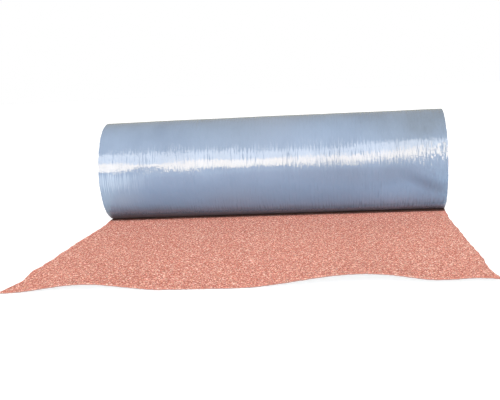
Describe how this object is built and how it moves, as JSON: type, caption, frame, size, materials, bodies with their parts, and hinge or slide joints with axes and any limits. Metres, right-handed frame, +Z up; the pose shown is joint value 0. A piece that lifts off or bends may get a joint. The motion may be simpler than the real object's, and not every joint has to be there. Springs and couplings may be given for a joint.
{
  "type": "roll of roofing felt",
  "caption": "Roll of mineral-surfaced roofing felt lying on its side, film outside, with about a metre of its free end laid out flat in front, granules up.",
  "frame": {"origin": "on the floor, under the middle of the whole part's box", "axes": "+X along the roll, to the right as seen from the free end; -Y from the roll towards the cut edge of the free end; +Z up"},
  "size_m": [1, 1.078, 0.296],
  "materials": {
    "felt": "satin"
  },
  "bodies": {
    "root": {"felt_roll": "felt"}
  },
  "joints": []
}
